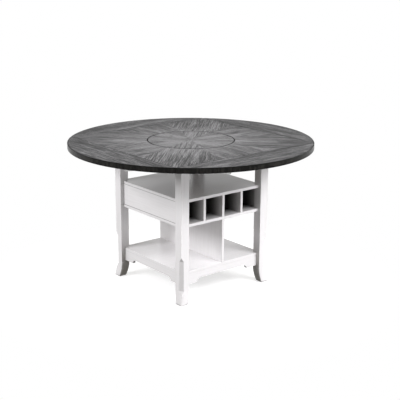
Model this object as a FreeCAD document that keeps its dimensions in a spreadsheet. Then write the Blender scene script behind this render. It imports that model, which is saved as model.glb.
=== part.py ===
"""Counter-height dining table with a lazy susan, four drop leaves and a bottle storage base.

Millimetres. The origin is on the floor under the middle of the table and +Z is up. The bottle
cubbies open to the front (-Y) and to the back (+Y); the closed side panels face left (-X) and
right (+X). The round top is a square panel with a segment-shaped leaf hinged to each side.
What comes four times round the table is modelled on one side and turned by quarter turns.
"""
import FreeCAD, Part
import os
import re

import Sketcher

Vector = FreeCAD.Vector
UP = Vector(0, 0, 1)
DOWN = Vector(0, 0, -1)
ALONG_X = Vector(1, 0, 0)
ALONG_Y = Vector(0, 1, 0)
TO_FRONT_LEFT = Vector(-1, -1, 0)

# ---------------------------------------------------------------- driving dimensions

SIZES = {
    # round top: square centre panel and four leaves
    "table_height": 914,
    "top_diameter": 1524,
    "top_thickness": 32,
    "leaf_gap": 1,
    "leaf_tip_trim": 7,
    "square_corner_trim": 3,
    "top_ease": 2,
    # lazy susan, let in flush, and the board that carries it
    "susan_diameter": 537,
    "susan_gap": 3.5,
    "susan_thickness": 22,
    "carrier_thickness": 15,
    "carrier_clearance": 0.5,
    "carrier_screw_edge": 22,
    "carrier_screw_spare": 22,
    # bearing of the lazy susan
    "bearing_diameter": 300,
    "bearing_bore": 120,
    "bearing_plate": 2,
    "race_diameter": 220,
    "race_width": 12,
    "ball_diameter": 6,
    "ball_count": 24,
    "ball_clearance": 0.3,
    "cage_width": 18,
    "cage_thickness": 1.6,
    "cage_clearance": 0.2,
    "bearing_screw_edge": 10,
    "bearing_screw_length": 12,
    # butt hinges under the seams
    "hinge_length": 70,
    "hinge_plate_width": 38,
    "hinge_plate": 2,
    "hinge_spacing": 400,
    "knuckle_diameter": 9,
    "knuckle_web": 6,
    "knuckle_clearance": 0.3,
    "hinge_pin_diameter": 4,
    "pin_clearance": 0.08,
    "hinge_screw_spacing": 24,
    # folding stays that hold the leaves up
    "stay_spacing": 500,
    "stay_reach": 120,
    "stay_drop": 12,
    "stay_plate": 2.5,
    "stay_width": 16,
    "stay_clearance": 0.3,
    "stay_foot_length": 44,
    "stay_foot_width": 24,
    "stay_screw_reach": 15,
    "rivet_diameter": 6,
    "rivet_head_diameter": 10,
    "rivet_head": 1.2,
    # legs
    "base_width": 684,
    "leg_width": 58,
    "foot_height": 105,
    "foot_kick": 10,
    "foot_taper": 17,
    "leg_chamfer": 18,
    "chamfer_top": 302,
    "chamfer_top_run": 26,
    "chamfer_foot": 56,
    "chamfer_foot_run": 34,
    "glide_diameter": 24,
    "glide_thickness": 3,
    "glide_nail_diameter": 3,
    "glide_nail_length": 15,
    # rails and corner blocks under the top
    "rail_height": 60,
    "rail_thickness": 22,
    "rail_inset": 24,
    "block_reach": 110,
    "block_bolt_near": 28,
    "block_bolt_far": 71,
    # bottle box
    "board_thickness": 18,
    "board_ease": 1.5,
    "box_inset": 24,
    "box_top": 642,
    "box_height": 170,
    "panel_recess": 1,
    # shelf and its aprons
    "shelf_top": 197,
    "apron_inset": 27,
    "apron_thickness": 20,
    "apron_foot": 113,
    "apron_arch": 137,
    "apron_foot_length": 84,
    "apron_cove_run": 32,
    "apron_step": 6,
    # fixings
    "screw_diameter": 4,
    "screw_head_diameter": 8,
    "screw_head": 1.5,
    "screw_length": 16,
    "carrier_screw_length": 30,
    "dowel_diameter": 8,
    "dowel_length": 30,
    "dowel_spacing": 36,
    "bolt_diameter": 6,
    "bolt_head_diameter": 11,
    "bolt_head": 4,
    "leg_bolt_length": 90,
    "top_bolt_length": 78,
    "fixing_clearance": 0.1,
    "hole_spare_depth": 1,
}

doc = FreeCAD.newDocument("counter_height_table")
sheet = doc.addObject("Spreadsheet::Sheet", "sizes")
for row, (alias, number) in enumerate(SIZES.items(), 1):
    sheet.set(f"A{row}", alias)
    sheet.set(f"B{row}", str(number))
    sheet.setAlias(f"B{row}", alias)
doc.recompute()

# Places that several pieces share, as expressions of the driving dimensions.
UNDERSIDE = "(table_height - top_thickness)"
TOP_RADIUS = "(top_diameter / 2)"
SQUARE_HALF = "(top_diameter / sqrt(8) - leaf_gap / 2)"
LEAF_EDGE = "(top_diameter / sqrt(8) + leaf_gap / 2)"
SEAM = "(top_diameter / sqrt(8))"
HINGE_AXIS = f"({UNDERSIDE} - knuckle_diameter / 2 - knuckle_clearance)"
RECESS_DIAMETER = "(susan_diameter + 2 * susan_gap)"
SUSAN_UNDERSIDE = "(table_height - susan_thickness)"
BEARING_MIDDLE = f"(({UNDERSIDE} + {SUSAN_UNDERSIDE}) / 2)"
CARRIER_UNDERSIDE = f"({UNDERSIDE} - carrier_thickness)"
BASE_HALF = "(base_width / 2)"
LEG_INNER = "(base_width / 2 - leg_width)"
RAIL_FACE = "(base_width / 2 - rail_inset)"
RAIL_INNER = "(base_width / 2 - rail_inset - rail_thickness)"
BOX_FACE = "(base_width / 2 - box_inset)"
BOX_UNDERSIDE = "(box_top - box_height)"
CELL_FLOOR = "(box_top - box_height + board_thickness)"
CELL_CEILING = "(box_top - board_thickness)"
PANEL_FACE = "(base_width / 2 - box_inset - panel_recess)"
DIVIDER_PITCH = f"((2 * {LEG_INNER} + board_thickness) / 4)"
SHELF_FACE = "(base_width / 2 - apron_inset)"
SHELF_UNDERSIDE = "(shelf_top - board_thickness)"

# Sides and corners in the order that quarter turns bring a piece to them, from the one that the
# piece is modelled on.
FROM_RIGHT = ("right", "back", "left", "front")
FROM_FRONT = ("front", "right", "back", "left")
FROM_FRONT_LEFT = ("front_left", "front_right", "back_right", "back_left")

kept = []


# ---------------------------------------------------------------- tools of the model

def named(expression):
    """Put the sheet's name in front of each size in an expression."""
    return re.sub(r"[a-z]+(?:_[a-z]+)+", lambda word: "sizes." + word.group(0), expression)


def value(expression):
    """The number that an expression of the sizes gives."""
    return float(sheet.evalExpression(named(expression)))


def turned(quarters):
    """A placement turned about the table's middle by a number of quarter turns."""
    return FreeCAD.Placement(Vector(0, 0, 0), FreeCAD.Rotation(UP, 90 * quarters))


def keep(thing, label):
    """Name a finished sub-part and put it on the list of what is written."""
    thing.Label = label
    kept.append(thing)


def keep_turned(thing, label, places):
    """Keep a copy of a piece at each of the places that quarter turns bring it to."""
    for quarters, place in enumerate(places):
        keep(group(f"{label}_{place}", [thing], quarters), f"{label}_{place}")


def block(name, x, y, z):
    """A box between a low and a high limit along each axis."""
    thing = doc.addObject("Part::Box", name)
    for side, axis, (low, high) in zip(("Length", "Width", "Height"), "xyz", (x, y, z)):
        thing.setExpression(side, named(f"({high}) - ({low})"))
        thing.setExpression(f"Placement.Base.{axis}", named(low))
    return thing


def rod(name, start, towards, length, diameter):
    """A round bar from a starting point along a direction."""
    thing = doc.addObject("Part::Cylinder", name)
    thing.Placement = FreeCAD.Placement(Vector(0, 0, 0), FreeCAD.Rotation(UP, towards))
    for axis, place in zip("xyz", start):
        thing.setExpression(f"Placement.Base.{axis}", named(place))
    thing.setExpression("Height", named(length))
    thing.setExpression("Radius", named(f"({diameter}) / 2"))
    return thing


def fuse(name, pieces):
    """Several overlapping shapes joined into one solid."""
    thing = doc.addObject("Part::MultiFuse", name)
    thing.Shapes = pieces
    return thing


def cut(name, base, tool):
    """One shape less another."""
    thing = doc.addObject("Part::Cut", name)
    thing.Base = base
    thing.Tool = tool
    return thing


def group(name, pieces, quarters=0):
    """Separate solids held together under one name, turned about the table's middle."""
    thing = doc.addObject("Part::Compound", name)
    thing.Links = pieces
    thing.Placement = turned(quarters)
    return thing


def all_round(name, pieces):
    """The same pieces on all four sides or corners of the table."""
    return group(name, [group(f"{name}_{quarter}", pieces, quarter) for quarter in range(4)])


def body(name):
    """An empty PartDesign body."""
    return doc.addObject("PartDesign::Body", name)


def sketch_on(owner, plane, lift):
    """A sketch on one of the body's own planes, moved along the plane's normal."""
    sketch = owner.newObject("Sketcher::SketchObject", f"{owner.Name}_sketch")
    role = f"{plane}_Plane"
    origin_plane = next(item for item in owner.Origin.OriginFeatures if item.Role == role)
    sketch.AttachmentSupport = (origin_plane, [""])
    sketch.MapMode = "FlatFace"
    sketch.setExpression("AttachmentOffset.Base.z", named(lift))
    return sketch


def pin_point(sketch, geometry, point, across, up):
    """Hold one point of a sketch at two expressions, measured from the sketch's origin."""
    for kind, place in (("DistanceX", across), ("DistanceY", up)):
        if place is None:
            continue
        rule = Sketcher.Constraint(kind, -1, 1, geometry, point, value(place))
        index = sketch.addConstraint(rule)
        sketch.setExpression(f"Constraints[{index}]", named(place))


def outline(sketch, corners):
    """Draw a closed outline.

    Each corner is (across, up), or (across, up, (centre across, centre up, held, way)) where the
    edge that leaves the corner is an arc. Of an arc's centre only the coordinate named in held,
    "x" or "y", is held, because its two ends settle the other one. The arc turns to the left or
    to the right along the way from its corner to the next.
    """
    points = [Vector(value(corner[0]), value(corner[1]), 0) for corner in corners]
    starts = []
    ends = []
    for index, corner in enumerate(corners):
        start = points[index]
        end = points[(index + 1) % len(points)]
        if len(corner) == 2:
            edge = sketch.addGeometry(Part.LineSegment(start, end), False)
            starts.append((edge, 1))
            ends.append((edge, 2))
            continue
        across, up, held, way = corner[2]
        centre = Vector(value(across), value(up), 0)
        circle = Part.Circle(centre, UP, (start - centre).Length)
        first, last = (start, end) if way == "left" else (end, start)
        arc = Part.ArcOfCircle(circle, circle.parameter(first), circle.parameter(last))
        edge = sketch.addGeometry(arc, False)
        starts.append((edge, 1 if way == "left" else 2))
        ends.append((edge, 2 if way == "left" else 1))
        pin_point(sketch, edge, 3, across if held == "x" else None, up if held == "y" else None)
    for index, corner in enumerate(corners):
        following = (index + 1) % len(corners)
        sketch.addConstraint(Sketcher.Constraint("Coincident", *ends[index], *starts[following]))
        pin_point(sketch, *starts[index], corner[0], corner[1])


def ring(sketch, across, up, diameter):
    """Draw a circle."""
    circle = Part.Circle(Vector(value(across), value(up), 0), UP, value(diameter) / 2)
    edge = sketch.addGeometry(circle, False)
    pin_point(sketch, edge, 3, across, up)
    index = sketch.addConstraint(Sketcher.Constraint("Diameter", edge, value(diameter)))
    sketch.setExpression(f"Constraints[{index}]", named(diameter))


def pad(owner, plane, low, high, draw):
    """Add material between two limits along the axis that the plane faces.

    draw is a function that draws on the sketch it is given. The XZ plane faces -Y, so there the
    sketch lies at the high limit and the material grows towards the low one.
    """
    sketch = sketch_on(owner, plane, f"-({high})" if plane == "XZ" else low)
    draw(sketch)
    feature = owner.newObject("PartDesign::Pad", f"{owner.Name}_pad")
    feature.Profile = sketch
    feature.setExpression("Length", named(f"({high}) - ({low})"))
    doc.recompute()


def pocket(owner, plane, low, high, draw):
    """Cut material away between two limits along the axis that the plane faces."""
    before = owner.Shape.Volume
    sketch = sketch_on(owner, plane, f"-({low})" if plane == "XZ" else high)
    draw(sketch)
    feature = owner.newObject("PartDesign::Pocket", f"{owner.Name}_pocket")
    feature.Profile = sketch
    feature.setExpression("Length", named(f"({high}) - ({low})"))
    doc.recompute()
    if not owner.Shape.Volume < before:
        raise RuntimeError(f"a pocket of {owner.Name} cuts nothing")
    return feature


def revolve(owner, corners):
    """Turn a closed outline of (radius, height) corners about the table's upright axis."""
    sketch = sketch_on(owner, "XZ", "0")
    outline(sketch, corners)
    feature = owner.newObject("PartDesign::Revolution", f"{owner.Name}_turning")
    feature.Profile = sketch
    feature.ReferenceAxis = (sketch, ["V_Axis"])
    feature.Angle = 360
    doc.recompute()


def ease(owner, radius, chosen):
    """Round off the edges of a body that a test picks out by their boxes."""
    tip = owner.Tip
    edges = [f"Edge{index}" for index, edge in enumerate(tip.Shape.Edges, 1) if chosen(edge.BoundBox)]
    feature = owner.newObject("PartDesign::Fillet", f"{owner.Name}_ease")
    feature.Base = (tip, edges)
    feature.setExpression("Radius", named(radius))
    doc.recompute()


def same(first, second):
    """Whether two lengths are equal but for rounding."""
    return abs(first - second) < 0.01


def level_at(box, height):
    """Whether an edge's box lies level at a height."""
    return same(box.ZMin, height) and same(box.ZMax, height)


def upright(box):
    """Whether an edge's box is that of an upright line."""
    return same(box.XLength, 0) and same(box.YLength, 0)


def on_faces(box, half):
    """Whether an edge lies in one of the four upright faces of a square of this half width."""
    across = same(box.XLength, 0) and same(abs(box.XMin), half)
    along = same(box.YLength, 0) and same(abs(box.YMin), half)
    return across or along


def square_corners(half, trim):
    """Corners of a square about the origin whose own corners are cut off at 45 degrees."""
    near = f"({half} - {trim})"
    return [(f"-{near}", f"-{half}"), (near, f"-{half}"), (half, f"-{near}"), (half, near),
            (near, half), (f"-{near}", half), (f"-{half}", near), (f"-{half}", f"-{near}")]


def notched_corners(half, notch):
    """Corners of a square about the origin whose corners are cut back squarely to a nearer line."""
    corners = []
    for across, up in ((-1, -1), (1, -1), (1, 1), (-1, 1)):
        wide = f"{across} * {half}"
        narrow = f"{across} * {notch}"
        high = f"{up} * {half}"
        low = f"{up} * {notch}"
        steps = [(wide, low), (narrow, low), (narrow, high)]
        corners += steps if across == up else steps[::-1]
    return corners


def rectangle(across, up):
    """Corners of a rectangle from its two limits each way."""
    return [(across[0], up[0]), (across[1], up[0]), (across[1], up[1]), (across[0], up[1])]


def panel(name, x, y, z):
    """A board with square corners, as a body, between a low and a high limit along each axis."""
    owner = body(name)
    pad(owner, "XY", *z, lambda sketch: outline(sketch, rectangle(x, y)))
    return owner


def screw(name, x, y, seat, towards, length):
    """An upright screw with its head on the seat, and the hole that it needs."""
    behind = "-" if towards == UP else "+"
    shank = rod(f"{name}_shank", (x, y, seat), towards, length, "screw_diameter")
    head_end = f"{seat} {behind} screw_head"
    head = rod(f"{name}_head", (x, y, head_end), towards, "screw_head", "screw_head_diameter")
    hole = rod(f"{name}_hole", (x, y, head_end), towards,
               f"{length} + screw_head + hole_spare_depth", "screw_diameter + 2 * fixing_clearance")
    return fuse(name, [shank, head]), hole


# ---------------------------------------------------------------- screws under the seams

def seam_screws(name, side):
    """Hinge and stay screws beside the right-hand seam: side -1 on the table, 1 on the leaf."""
    screws = []
    holes = []
    seat = f"{UNDERSIDE} - hinge_plate"
    places = []
    for hinge in (-1, 0, 1):
        line = f"{SEAM} + {side} * (knuckle_web + hinge_plate_width) / 2"
        for place in (-1, 0, 1):
            places.append((line, f"{hinge} * hinge_spacing + {place} * hinge_screw_spacing"))
    for stay in (-1, 1):
        for place in (-1, 1):
            line = f"{SEAM} + {side} * stay_reach + {place} * stay_screw_reach"
            places.append((line, f"{stay} * stay_spacing / 2"))
    for x, y in places:
        one, hole = screw(f"{name}_screw", x, y, seat, UP, "screw_length")
        screws.append(one)
        holes.append(hole)
    return screws, holes


table_seam_screws, table_seam_holes = seam_screws("table", -1)
leaf_seam_screws, leaf_seam_holes = seam_screws("leaf", 1)
leaf_holes = group("leaf_holes", leaf_seam_holes)
table_holes = group("table_holes", table_seam_holes)


# ---------------------------------------------------------------- fixings of the carrier board

near_edge = f"({LEG_INNER} - carrier_screw_edge)"
clear_of_block = f"(2 * {RAIL_INNER} - block_reach - carrier_screw_spare - {near_edge})"
carrier_screws = []
carrier_holes = []
for end in (-1, 1):
    one, hole = screw("carrier_screw", f"{end} * {clear_of_block}", f"-{near_edge}",
                      CARRIER_UNDERSIDE, UP, "carrier_screw_length")
    carrier_screws.append(one)
    carrier_holes.append(hole)

bearing_base_screw, bearing_base_hole = screw(
    "bearing_base_screw", "bearing_bore / 2 + bearing_screw_edge", "0",
    f"{UNDERSIDE} + bearing_plate", DOWN, "bearing_screw_length")
bearing_turning_screw, bearing_turning_hole = screw(
    "bearing_turning_screw", "bearing_diameter / 2 - bearing_screw_edge", "0",
    f"{SUSAN_UNDERSIDE} - bearing_plate", UP, "bearing_screw_length")
bearing_base_holes = all_round("bearing_base_holes", [bearing_base_hole])
bearing_turning_holes = all_round("bearing_turning_holes", [bearing_turning_hole])


def hex_bolt(name, start, towards, length):
    """A hexagon bolt with its head behind the starting point, and the hole that it needs."""
    shank = rod(f"{name}_shank", start, towards, length, "bolt_diameter")
    head = doc.addObject("Part::Prism", f"{name}_head")
    head.Polygon = 6
    head.Placement = FreeCAD.Placement(Vector(0, 0, 0), FreeCAD.Rotation(UP, -towards))
    for axis, place in zip("xyz", start):
        head.setExpression(f"Placement.Base.{axis}", named(place))
    head.setExpression("Circumradius", named("bolt_head_diameter / 2"))
    head.setExpression("Height", named("bolt_head"))
    hole = rod(f"{name}_hole", start, towards, f"{length} + hole_spare_depth",
               "bolt_diameter + 2 * fixing_clearance")
    return fuse(name, [shank, head]), hole


block_underside = f"({UNDERSIDE} - rail_height)"
block_middle = f"(({block_underside} + {CARRIER_UNDERSIDE}) / 2)"
block_face = f"-({RAIL_INNER} - block_reach / 2)"
leg_bolt, leg_bolt_hole = hex_bolt("leg_bolt", (block_face, block_face, block_middle),
                                   TO_FRONT_LEFT, "leg_bolt_length")
top_bolt, top_bolt_hole = hex_bolt(
    "top_bolt", (f"-({RAIL_INNER} - block_bolt_far)", f"-({RAIL_INNER} - block_bolt_near)", block_underside),
    UP, "top_bolt_length")


# ---------------------------------------------------------------- square centre of the top

square_body = body("square_body")
pad(square_body, "XY", UNDERSIDE, "table_height",
    lambda sketch: outline(sketch, square_corners(SQUARE_HALF, "square_corner_trim")))
pocket(square_body, "XY", UNDERSIDE, "table_height",
       lambda sketch: ring(sketch, "0", "0", RECESS_DIAMETER))
ease(square_body, "top_ease", lambda box: level_at(box, value("table_height")))
square_holes = group("square_holes", [
    all_round("seam_holes_round", [table_holes]),
    all_round("carrier_holes_round", carrier_holes),
    all_round("top_bolt_holes_round", [top_bolt_hole])])
keep(cut("square_top", square_body, square_holes), "square_top")


# ---------------------------------------------------------------- four leaves

tip_along = f"({LEAF_EDGE} - leaf_tip_trim)"
tip_across = f"sqrt({TOP_RADIUS}^2 - {tip_along}^2)"
leaf_body = body("leaf_body")
pad(leaf_body, "XY", UNDERSIDE, "table_height", lambda sketch: outline(sketch, [
    (LEAF_EDGE, f"-{tip_along}"),
    (tip_across, f"-{tip_along}", ("0", "0", "x", "left")),
    (tip_across, tip_along),
    (LEAF_EDGE, tip_along)]))
ease(leaf_body, "top_ease", lambda box: level_at(box, value("table_height")))
keep_turned(cut("leaf", leaf_body, leaf_holes), "leaf", FROM_RIGHT)


# ---------------------------------------------------------------- lazy susan and its bearing

susan_body = body("susan_body")
pad(susan_body, "XY", SUSAN_UNDERSIDE, "table_height",
    lambda sketch: ring(sketch, "0", "0", "susan_diameter"))
ease(susan_body, "top_ease", lambda box: level_at(box, value("table_height")))
keep(cut("lazy_susan", susan_body, bearing_turning_holes), "lazy_susan")

carrier_body = body("carrier_body")
carrier_half = f"({LEG_INNER} - carrier_clearance)"
carrier_limits = (f"-{carrier_half}", carrier_half)
pad(carrier_body, "XY", CARRIER_UNDERSIDE, UNDERSIDE,
    lambda sketch: outline(sketch, rectangle(carrier_limits, carrier_limits)))
carrier_all_holes = group("carrier_all_holes", [
    bearing_base_holes,
    all_round("carrier_board_holes", carrier_holes),
    all_round("carrier_bolt_holes", [top_bolt_hole])])
keep(cut("susan_carrier_board", carrier_body, carrier_all_holes), "susan_carrier_board")

RACE_RADIUS = "(race_diameter / 2)"
LIP_OFFSET = "(cage_thickness / 2 + cage_clearance)"
GROOVE_HALF = f"sqrt((ball_diameter / 2 + ball_clearance)^2 - {LIP_OFFSET}^2)"


def bearing_plate(name, face, side, groove_way, holes):
    """A round plate with a raised ring that holds half of the ball groove.

    side is 1 where the ring stands up from the face and -1 where it hangs down from it.
    """
    plate = f"({face} + {side} * bearing_plate)"
    lip = f"({BEARING_MIDDLE} - {side} * {LIP_OFFSET})"
    groove = (RACE_RADIUS, BEARING_MIDDLE, "y", groove_way)
    owner = body(f"{name}_body")
    revolve(owner, [
        ("bearing_bore / 2", face),
        ("bearing_diameter / 2", face),
        ("bearing_diameter / 2", plate),
        (f"{RACE_RADIUS} + race_width / 2", plate),
        (f"{RACE_RADIUS} + race_width / 2", lip),
        (f"{RACE_RADIUS} + {GROOVE_HALF}", lip, groove),
        (f"{RACE_RADIUS} - {GROOVE_HALF}", lip),
        (f"{RACE_RADIUS} - race_width / 2", lip),
        (f"{RACE_RADIUS} - race_width / 2", plate),
        ("bearing_bore / 2", plate)])
    keep(cut(name, owner, holes), name)


bearing_plate("bearing_base_plate", UNDERSIDE, 1, "right", bearing_base_holes)
bearing_plate("bearing_turning_plate", SUSAN_UNDERSIDE, -1, "left", bearing_turning_holes)
keep(all_round("bearing_turning_screws", [bearing_turning_screw]), "bearing_turning_screws")

cage = body("ball_cage")
cage_low = f"{BEARING_MIDDLE} - cage_thickness / 2"
cage_high = f"{BEARING_MIDDLE} + cage_thickness / 2"
revolve(cage, rectangle((f"{RACE_RADIUS} - cage_width / 2", f"{RACE_RADIUS} + cage_width / 2"),
                        (cage_low, cage_high)))
cage_hole = pocket(cage, "XY", cage_low, cage_high,
                   lambda sketch: ring(sketch, RACE_RADIUS, "0", "ball_diameter + 2 * ball_clearance"))
cage_holes = cage.newObject("PartDesign::PolarPattern", "cage_holes")
cage_holes.Originals = [cage_hole]
cage_holes.Axis = (next(item for item in cage.Origin.OriginFeatures if item.Role == "Z_Axis"), [""])
cage_holes.Angle = 360
cage_holes.setExpression("Occurrences", named("ball_count"))
cage.Tip = cage_holes
balls = []
for index in range(round(value("ball_count"))):
    ball = doc.addObject("Part::Sphere", "ball")
    ball.setExpression("Radius", named("ball_diameter / 2"))
    ball.setExpression("Placement.Base.x", named(f"{RACE_RADIUS} * cos(360 * {index} / ball_count)"))
    ball.setExpression("Placement.Base.y", named(f"{RACE_RADIUS} * sin(360 * {index} / ball_count)"))
    ball.setExpression("Placement.Base.z", named(BEARING_MIDDLE))
    balls.append(ball)
keep(group("ball_ring", [cage] + balls), "ball_ring")


# ---------------------------------------------------------------- hinges

def hinge_half(name, hinge, side, knuckles, holes):
    """One plate of a butt hinge with its knuckles, on one side of the right-hand seam."""
    middle = f"{hinge} * hinge_spacing"
    length = (f"{middle} - hinge_length / 2", f"{middle} + hinge_length / 2")
    height = (f"{UNDERSIDE} - hinge_plate", UNDERSIDE)
    far = f"{SEAM} + {side} * hinge_plate_width"
    web = f"{SEAM} + {side} * knuckle_web"
    pieces = [block(f"{name}_plate", sorted((far, web), key=value), length, height)]
    for low, high in knuckles:
        limits = (f"{middle} + {low}", f"{middle} + {high}")
        pieces.append(block(f"{name}_web", sorted((web, SEAM), key=value), limits, height))
        pieces.append(rod(f"{name}_knuckle", (SEAM, limits[0], HINGE_AXIS), ALONG_Y,
                          f"({high}) - ({low})", "knuckle_diameter"))
    bore = rod(f"{name}_bore", (SEAM, length[0], HINGE_AXIS), ALONG_Y, "hinge_length",
               "hinge_pin_diameter + 2 * pin_clearance")
    solid = fuse(f"{name}_solid", pieces)
    return cut(name, solid, group(f"{name}_holes", [bore, holes]))


table_knuckles = [("(-hinge_length / 2)", "(-hinge_length / 6 - knuckle_clearance)"),
                  ("(hinge_length / 6 + knuckle_clearance)", "(hinge_length / 2)")]
leaf_knuckles = [("(-hinge_length / 6)", "(hinge_length / 6)")]
table_plates = [hinge_half("table_hinge", hinge, -1, table_knuckles, table_holes) for hinge in (-1, 0, 1)]
leaf_plates = [hinge_half("leaf_hinge", hinge, 1, leaf_knuckles, leaf_holes) for hinge in (-1, 0, 1)]
pins = [rod("hinge_pin", (SEAM, f"{hinge} * hinge_spacing - hinge_length / 2", HINGE_AXIS), ALONG_Y,
            "hinge_length", "hinge_pin_diameter") for hinge in (-1, 0, 1)]
keep(all_round("hinge_table_plates", table_plates), "hinge_table_plates")
keep(all_round("hinge_pins", pins), "hinge_pins")
keep_turned(group("hinge_leaf_plates", leaf_plates), "hinge_leaf_plates", FROM_RIGHT)


# ---------------------------------------------------------------- folding stays

TABLE_PIVOT = (f"({SEAM} - stay_reach)", f"({HINGE_AXIS} - stay_drop)")
LEAF_PIVOT = (f"({SEAM} + stay_reach)", f"({HINGE_AXIS} - stay_drop)")
ELBOW = (SEAM, f"({HINGE_AXIS} - 2 * stay_drop)")
RIVET_HOLE = "rivet_diameter + 2 * pin_clearance"


def stay_layers(stay):
    """The two layers, side by side along the seam, that a stay's flat pieces lie in."""
    middle = f"{stay} * stay_spacing / 2"
    inner = (f"({middle} - stay_plate / 2)", f"({middle} + stay_plate / 2)")
    outer = (f"({middle} + stay_plate / 2 + stay_clearance)",
             f"({middle} + 3 * stay_plate / 2 + stay_clearance)")
    return middle, inner, outer


def stay_arm(name, start, end, layer):
    """A flat arm with round ends and a rivet hole at each end."""
    run = f"({end[0]} - {start[0]})"
    rise = f"({end[1]} - {start[1]})"
    half_over_length = f"(stay_width / 2 / sqrt({run}^2 + {rise}^2))"
    over_x = f"({rise} * {half_over_length})"
    over_z = f"({run} * {half_over_length})"
    owner = body(name)
    pad(owner, "XZ", *layer, lambda sketch: outline(sketch, [
        (f"{start[0]} - {over_x}", f"{start[1]} + {over_z}"),
        (f"{end[0]} - {over_x}", f"{end[1]} + {over_z}", (*end, "x", "right")),
        (f"{end[0]} + {over_x}", f"{end[1]} - {over_z}"),
        (f"{start[0]} + {over_x}", f"{start[1]} - {over_z}", (*start, "x", "right"))]))
    for pivot in (start, end):
        pocket(owner, "XZ", *layer, lambda sketch, place=pivot: ring(sketch, *place, RIVET_HOLE))
    return owner


def stay_bracket(name, pivot, middle, layer, holes):
    """A foot under the top with an ear that carries a stay's rivet."""
    foot = block(f"{name}_foot",
                 (f"{pivot[0]} - stay_foot_length / 2", f"{pivot[0]} + stay_foot_length / 2"),
                 (f"{middle} - stay_foot_width / 2", f"{middle} + stay_foot_width / 2"),
                 (f"{UNDERSIDE} - hinge_plate", UNDERSIDE))
    ear = block(f"{name}_ear", (f"{pivot[0]} - stay_width / 2", f"{pivot[0]} + stay_width / 2"),
                layer, (pivot[1], f"{UNDERSIDE} - hinge_plate / 2"))
    end = rod(f"{name}_end", (pivot[0], layer[0], pivot[1]), ALONG_Y, "stay_plate", "stay_width")
    bore = rod(f"{name}_bore", (pivot[0], layer[0], pivot[1]), ALONG_Y, "stay_plate", RIVET_HOLE)
    solid = fuse(f"{name}_solid", [foot, ear, end])
    return cut(name, solid, group(f"{name}_holes", [bore, holes]))


def rivet(name, pivot, inner, outer):
    """A rivet through both layers, with a head on each side."""
    low = f"({inner[0]} - stay_clearance)"
    high = f"({outer[1]} + stay_clearance)"
    shank = rod(f"{name}_shank", (pivot[0], low, pivot[1]), ALONG_Y, f"{high} - {low}", "rivet_diameter")
    heads = [rod(f"{name}_head", (pivot[0], place, pivot[1]), ALONG_Y, "rivet_head", "rivet_head_diameter")
             for place in (f"{low} - rivet_head", high)]
    return fuse(name, [shank] + heads)


table_brackets = []
leaf_brackets = []
table_arms = []
leaf_arms = []
for stay in (-1, 1):
    middle, inner, outer = stay_layers(stay)
    table_brackets.append(stay_bracket("table_bracket", TABLE_PIVOT, middle, inner, table_holes))
    leaf_brackets.append(stay_bracket("leaf_bracket", LEAF_PIVOT, middle, outer, leaf_holes))
    table_arms.append(stay_arm("table_arm", TABLE_PIVOT, ELBOW, outer))
    table_arms.append(rivet("table_rivet", TABLE_PIVOT, inner, outer))
    table_arms.append(rivet("elbow_rivet", ELBOW, inner, outer))
    leaf_arms.append(stay_arm("leaf_arm", ELBOW, LEAF_PIVOT, inner))
    leaf_arms.append(rivet("leaf_rivet", LEAF_PIVOT, inner, outer))
keep(all_round("stay_table_brackets", table_brackets), "stay_table_brackets")
keep_turned(group("stay_leaf_brackets", leaf_brackets), "stay_leaf_brackets", FROM_RIGHT)
keep_turned(group("stay_table_arms", table_arms), "stay_table_arms", FROM_RIGHT)
keep_turned(group("stay_leaf_arms", leaf_arms), "stay_leaf_arms", FROM_RIGHT)
keep_turned(group("leaf_screws", leaf_seam_screws), "leaf_screws", FROM_RIGHT)
keep(group("top_screws", [
    all_round("seam_screws", table_seam_screws),
    all_round("carrier_screws", carrier_screws),
    all_round("bearing_base_screws", [bearing_base_screw])]), "top_screws")


# ---------------------------------------------------------------- dowels of rails and aprons

RAIL_MIDDLE = f"({UNDERSIDE} - rail_height / 2)"
APRON_MIDDLE = f"((apron_foot + {SHELF_UNDERSIDE}) / 2)"
dowels = []
dowel_holes_in_front = []
for end in (-1, 1):
    joint = f"{end} * {LEG_INNER}"
    for line, middle in ((f"-({RAIL_FACE} - rail_thickness / 2)", RAIL_MIDDLE),
                         (f"-({SHELF_FACE} - apron_thickness / 2)", APRON_MIDDLE)):
        for step in (-1, 1):
            height = f"{middle} + {step} * dowel_spacing / 2"
            dowels.append(rod("dowel", (f"{joint} - dowel_length / 2", line, height), ALONG_X,
                              "dowel_length", "dowel_diameter"))
            dowel_holes_in_front.append(
                rod("dowel_hole", (f"{joint} - dowel_length / 2 - hole_spare_depth", line, height),
                    ALONG_X, "dowel_length + 2 * hole_spare_depth",
                    "dowel_diameter + 2 * fixing_clearance"))
front_dowel_holes = group("front_dowel_holes", dowel_holes_in_front)
keep(all_round("dowels", dowels), "dowels")


# ---------------------------------------------------------------- legs

LEG_FOOT = "glide_thickness"
FLARE_HEIGHT = "(foot_height - glide_thickness)"
INNER_RADIUS = f"((foot_taper^2 + {FLARE_HEIGHT}^2) / (2 * foot_taper))"
OUTER_RADIUS = f"((foot_kick^2 + {FLARE_HEIGHT}^2) / (2 * foot_kick))"
OUTER_LINE = f"-{BASE_HALF}"
INNER_LINE = f"-{LEG_INNER}"
FOOT_OUTER = f"(-{BASE_HALF} - foot_kick)"
FOOT_INNER = f"(-{LEG_INNER} - foot_taper)"
OUTER_CURVE = (f"(-{BASE_HALF} - {OUTER_RADIUS})", "foot_height", "y", "left")
INNER_CURVE = (f"(-{LEG_INNER} - {INNER_RADIUS})", "foot_height", "y", "right")

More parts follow.
